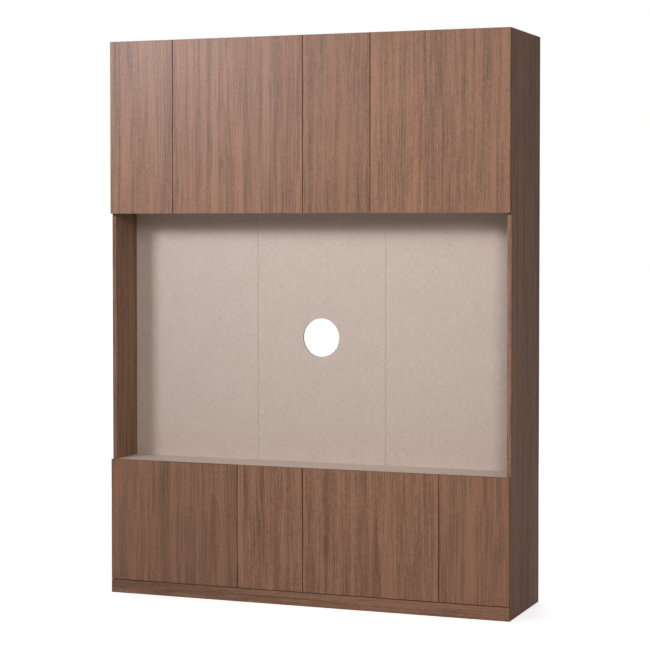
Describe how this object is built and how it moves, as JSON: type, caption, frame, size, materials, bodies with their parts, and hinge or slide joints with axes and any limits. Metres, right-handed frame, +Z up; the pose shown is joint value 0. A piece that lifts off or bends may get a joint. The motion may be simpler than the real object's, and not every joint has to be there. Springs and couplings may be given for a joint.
{
  "type": "tv cabinet",
  "caption": "Tall free-standing cabinet with push-to-open doors above and below a full-width television niche with a round cable hole in its back.",
  "frame": {"origin": "centre of the footprint on the floor", "axes": "+X to the right seen from the front, +Y to the rear, away from the doors, +Z up"},
  "size_m": [1.8, 0.46, 2.4],
  "materials": {
    "walnut_board": "satin walnut-effect laminate with a fine vertical grain",
    "linen_board": "matt beige laminate with a fine woven look",
    "raw_board": "bare board",
    "rear_panel": "thin lacquered fibreboard",
    "plated_steel": "nickel plated",
    "cast_zinc": "dull casting",
    "grey_plastic": "moulded",
    "white_plastic": "moulded"
  },
  "bodies": {
    "root": {"side_panel_left": "walnut_board", "side_panel_right": "walnut_board", "top_panel": "linen_board", "upper_floor_panel": "linen_board", "upper_divider": "linen_board", "lower_top_panel": "linen_board", "lower_bottom_panel": "linen_board", "lower_divider": "linen_board", "back_panels": "rear_panel", "upper_shelf_left": "linen_board", "upper_shelf_right": "linen_board", "lower_shelf_left": "linen_board", "lower_shelf_right": "linen_board", "niche_back_left": "linen_board", "niche_back_middle": "linen_board", "niche_back_right": "linen_board", "niche_supports": "raw_board", "wall_rail": "raw_board", "plinth_board": "walnut_board", "base_rails": "raw_board", "hinge_arms": "plated_steel", "hinge_plates": "plated_steel", "latch_housings": "grey_plastic", "shelf_pins": "plated_steel", "cam_locks": "cast_zinc", "cam_bolts": "plated_steel", "plate_screws": "plated_steel"},
    "door_upper_1": {"door_upper_1": "walnut_board", "fittings_upper_1": "plated_steel"},
    "hinge_links_upper_1": {"hinge_links_upper_1": "plated_steel"},
    "plunger_upper_1": {"plunger_upper_1": "white_plastic"},
    "door_upper_2": {"door_upper_2": "walnut_board", "fittings_upper_2": "plated_steel"},
    "hinge_links_upper_2": {"hinge_links_upper_2": "plated_steel"},
    "plunger_upper_2": {"plunger_upper_2": "white_plastic"},
    "door_upper_3": {"door_upper_3": "walnut_board", "fittings_upper_3": "plated_steel"},
    "hinge_links_upper_3": {"hinge_links_upper_3": "plated_steel"},
    "plunger_upper_3": {"plunger_upper_3": "white_plastic"},
    "door_upper_4": {"door_upper_4": "walnut_board", "fittings_upper_4": "plated_steel"},
    "hinge_links_upper_4": {"hinge_links_upper_4": "plated_steel"},
    "plunger_upper_4": {"plunger_upper_4": "white_plastic"},
    "door_lower_1": {"door_lower_1": "walnut_board", "fittings_lower_1": "plated_steel"},
    "hinge_links_lower_1": {"hinge_links_lower_1": "plated_steel"},
    "plunger_lower_1": {"plunger_lower_1": "white_plastic"},
    "door_lower_2": {"door_lower_2": "walnut_board", "fittings_lower_2": "plated_steel"},
    "hinge_links_lower_2": {"hinge_links_lower_2": "plated_steel"},
    "plunger_lower_2": {"plunger_lower_2": "white_plastic"},
    "door_lower_3": {"door_lower_3": "walnut_board", "fittings_lower_3": "plated_steel"},
    "hinge_links_lower_3": {"hinge_links_lower_3": "plated_steel"},
    "plunger_lower_3": {"plunger_lower_3": "white_plastic"},
    "door_lower_4": {"door_lower_4": "walnut_board", "fittings_lower_4": "plated_steel"},
    "hinge_links_lower_4": {"hinge_links_lower_4": "plated_steel"},
    "plunger_lower_4": {"plunger_lower_4": "white_plastic"}
  },
  "joints": [
    {"name": "door_upper_1_link_turn", "type": "hinge", "parent": "root", "child": "hinge_links_upper_1", "pos_m": [-0.857, -0.1905, 0], "axis": [0, 0, -1], "range_deg": [-18.1, 0]},
    {"name": "door_upper_1_swing", "type": "hinge", "parent": "hinge_links_upper_1", "child": "door_upper_1", "pos_m": [-0.8888, -0.2187, 0], "axis": [0, 0, -1], "range_deg": [0, 113.05]},
    {"name": "plunger_upper_1_travel", "type": "slide", "parent": "root", "child": "plunger_upper_1", "axis": [0, -1, 0], "range_m": [0, 0.0301]},
    {"name": "door_upper_2_link_turn", "type": "hinge", "parent": "root", "child": "hinge_links_upper_2", "pos_m": [-0.0435, -0.1905, 0], "axis": [0, 0, 1], "range_deg": [-17.15, 0]},
    {"name": "door_upper_2_swing", "type": "hinge", "parent": "hinge_links_upper_2", "child": "door_upper_2", "pos_m": [-0.0117, -0.2187, 0], "axis": [0, 0, 1], "range_deg": [0, 107.1]},
    {"name": "plunger_upper_2_travel", "type": "slide", "parent": "root", "child": "plunger_upper_2", "axis": [0, -1, 0], "range_m": [0, 0.0301]},
    {"name": "door_upper_3_link_turn", "type": "hinge", "parent": "root", "child": "hinge_links_upper_3", "pos_m": [0.0435, -0.1905, 0], "axis": [0, 0, -1], "range_deg": [-17.15, 0]},
    {"name": "door_upper_3_swing", "type": "hinge", "parent": "hinge_links_upper_3", "child": "door_upper_3", "pos_m": [0.0117, -0.2187, 0], "axis": [0, 0, -1], "range_deg": [0, 107.1]},
    {"name": "plunger_upper_3_travel", "type": "slide", "parent": "root", "child": "plunger_upper_3", "axis": [0, -1, 0], "range_m": [0, 0.0301]},
    {"name": "door_upper_4_link_turn", "type": "hinge", "parent": "root", "child": "hinge_links_upper_4", "pos_m": [0.857, -0.1905, 0], "axis": [0, 0, 1], "range_deg": [-18.1, 0]},
    {"name": "door_upper_4_swing", "type": "hinge", "parent": "hinge_links_upper_4", "child": "door_upper_4", "pos_m": [0.8888, -0.2187, 0], "axis": [0, 0, 1], "range_deg": [0, 113.05]},
    {"name": "plunger_upper_4_travel", "type": "slide", "parent": "root", "child": "plunger_upper_4", "axis": [0, -1, 0], "range_m": [0, 0.0301]},
    {"name": "door_lower_1_link_turn", "type": "hinge", "parent": "root", "child": "hinge_links_lower_1", "pos_m": [-0.857, -0.1905, 0], "axis": [0, 0, -1], "range_deg": [-18.1, 0]},
    {"name": "door_lower_1_swing", "type": "hinge", "parent": "hinge_links_lower_1", "child": "door_lower_1", "pos_m": [-0.8888, -0.2187, 0], "axis": [0, 0, -1], "range_deg": [0, 113.05]},
    {"name": "plunger_lower_1_travel", "type": "slide", "parent": "root", "child": "plunger_lower_1", "axis": [0, -1, 0], "range_m": [0, 0.0301]},
    {"name": "door_lower_2_link_turn", "type": "hinge", "parent": "root", "child": "hinge_links_lower_2", "pos_m": [-0.0435, -0.1905, 0], "axis": [0, 0, 1], "range_deg": [-17.15, 0]},
    {"name": "door_lower_2_swing", "type": "hinge", "parent": "hinge_links_lower_2", "child": "door_lower_2", "pos_m": [-0.0117, -0.2187, 0], "axis": [0, 0, 1], "range_deg": [0, 107.1]},
    {"name": "plunger_lower_2_travel", "type": "slide", "parent": "root", "child": "plunger_lower_2", "axis": [0, -1, 0], "range_m": [0, 0.0301]},
    {"name": "door_lower_3_link_turn", "type": "hinge", "parent": "root", "child": "hinge_links_lower_3", "pos_m": [0.0435, -0.1905, 0], "axis": [0, 0, -1], "range_deg": [-17.15, 0]},
    {"name": "door_lower_3_swing", "type": "hinge", "parent": "hinge_links_lower_3", "child": "door_lower_3", "pos_m": [0.0117, -0.2187, 0], "axis": [0, 0, -1], "range_deg": [0, 107.1]},
    {"name": "plunger_lower_3_travel", "type": "slide", "parent": "root", "child": "plunger_lower_3", "axis": [0, -1, 0], "range_m": [0, 0.0301]},
    {"name": "door_lower_4_link_turn", "type": "hinge", "parent": "root", "child": "hinge_links_lower_4", "pos_m": [0.857, -0.1905, 0], "axis": [0, 0, 1], "range_deg": [-18.1, 0]},
    {"name": "door_lower_4_swing", "type": "hinge", "parent": "hinge_links_lower_4", "child": "door_lower_4", "pos_m": [0.8888, -0.2187, 0], "axis": [0, 0, 1], "range_deg": [0, 113.05]},
    {"name": "plunger_lower_4_travel", "type": "slide", "parent": "root", "child": "plunger_lower_4", "axis": [0, -1, 0], "range_m": [0, 0.0301]}
  ],
  "couplings": [
    {"joint": "door_upper_1_link_turn", "follows": "door_upper_1_swing", "ratio": -0.15966},
    {"joint": "plunger_upper_1_travel", "follows": "door_upper_1_swing", "m_per_rad": 0.015205},
    {"joint": "door_upper_2_link_turn", "follows": "door_upper_2_swing", "ratio": -0.15966},
    {"joint": "plunger_upper_2_travel", "follows": "door_upper_2_swing", "m_per_rad": 0.016049},
    {"joint": "door_upper_3_link_turn", "follows": "door_upper_3_swing", "ratio": -0.15966},
    {"joint": "plunger_upper_3_travel", "follows": "door_upper_3_swing", "m_per_rad": 0.016049},
    {"joint": "door_upper_4_link_turn", "follows": "door_upper_4_swing", "ratio": -0.15966},
    {"joint": "plunger_upper_4_travel", "follows": "door_upper_4_swing", "m_per_rad": 0.015205},
    {"joint": "door_lower_1_link_turn", "follows": "door_lower_1_swing", "ratio": -0.15966},
    {"joint": "plunger_lower_1_travel", "follows": "door_lower_1_swing", "m_per_rad": 0.015205},
    {"joint": "door_lower_2_link_turn", "follows": "door_lower_2_swing", "ratio": -0.15966},
    {"joint": "plunger_lower_2_travel", "follows": "door_lower_2_swing", "m_per_rad": 0.016049},
    {"joint": "door_lower_3_link_turn", "follows": "door_lower_3_swing", "ratio": -0.15966},
    {"joint": "plunger_lower_3_travel", "follows": "door_lower_3_swing", "m_per_rad": 0.016049},
    {"joint": "door_lower_4_link_turn", "follows": "door_lower_4_swing", "ratio": -0.15966},
    {"joint": "plunger_lower_4_travel", "follows": "door_lower_4_swing", "m_per_rad": 0.015205}
  ]
}
